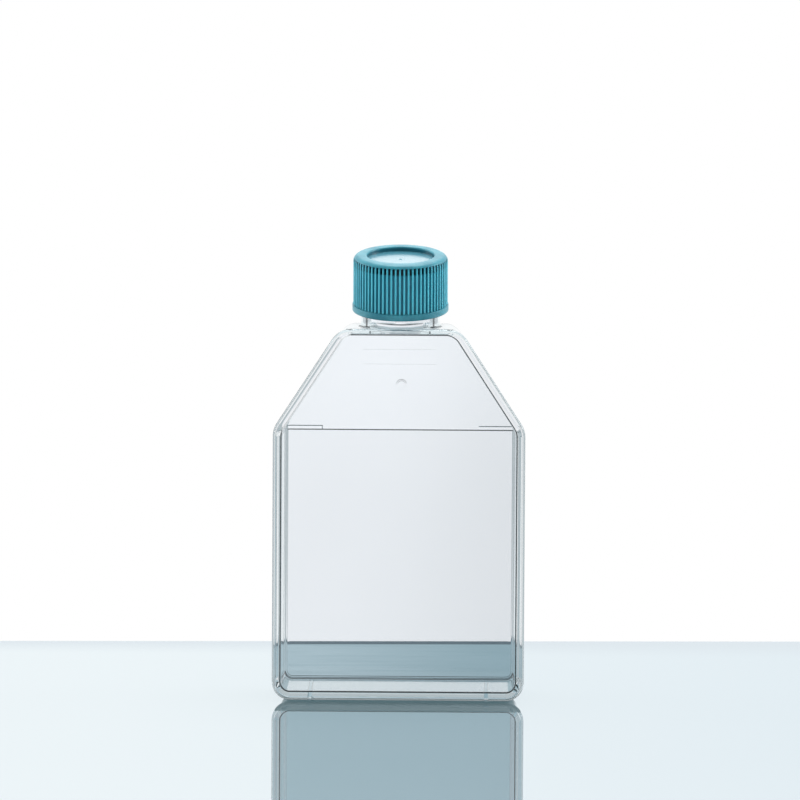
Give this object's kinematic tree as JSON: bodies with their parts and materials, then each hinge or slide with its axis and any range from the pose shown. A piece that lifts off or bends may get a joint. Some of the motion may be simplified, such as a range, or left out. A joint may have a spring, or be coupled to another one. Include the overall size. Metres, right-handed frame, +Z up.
{
  "type": "cell culture flask",
  "caption": "Clear six-sided cell culture flask with sloping shoulders, a welded top plate, a canted threaded neck and a ribbed screw cap over a sealing liner.",
  "frame": {"origin": "middle of the footprint, on the surface that the flask stands on", "axes": "+Z up through the cap, +Y from the top plate to the growth plate, +X to the right seen from the top plate"},
  "size_m": [0.0834, 0.0364, 0.1496],
  "materials": {
    "clear_polystyrene": "clear, glossy injection-moulded polystyrene",
    "teal_cap": "satin teal moulded polyethylene",
    "liner_foam": "matte white closed-cell foam"
  },
  "bodies": {
    "flask": {"flask_body": "clear_polystyrene", "top_plate": "clear_polystyrene"},
    "liner": {"cap_liner": "liner_foam"},
    "cap": {"cap": "teal_cap"}
  },
  "joints": [
    {"name": "cap_lift", "type": "slide", "parent": "flask", "child": "liner", "axis": [0, -0.1822, 0.9833], "range_m": [0, 0.0161]},
    {"name": "cap_turn", "type": "hinge", "parent": "liner", "child": "cap", "pos_m": [0, 0.0015, 0.1232], "axis": [0, -0.1822, 0.9833], "range_deg": [0, 1440]}
  ],
  "couplings": [
    {"joint": "cap_lift", "follows": "cap_turn", "m_per_rad": 0.00063662}
  ]
}
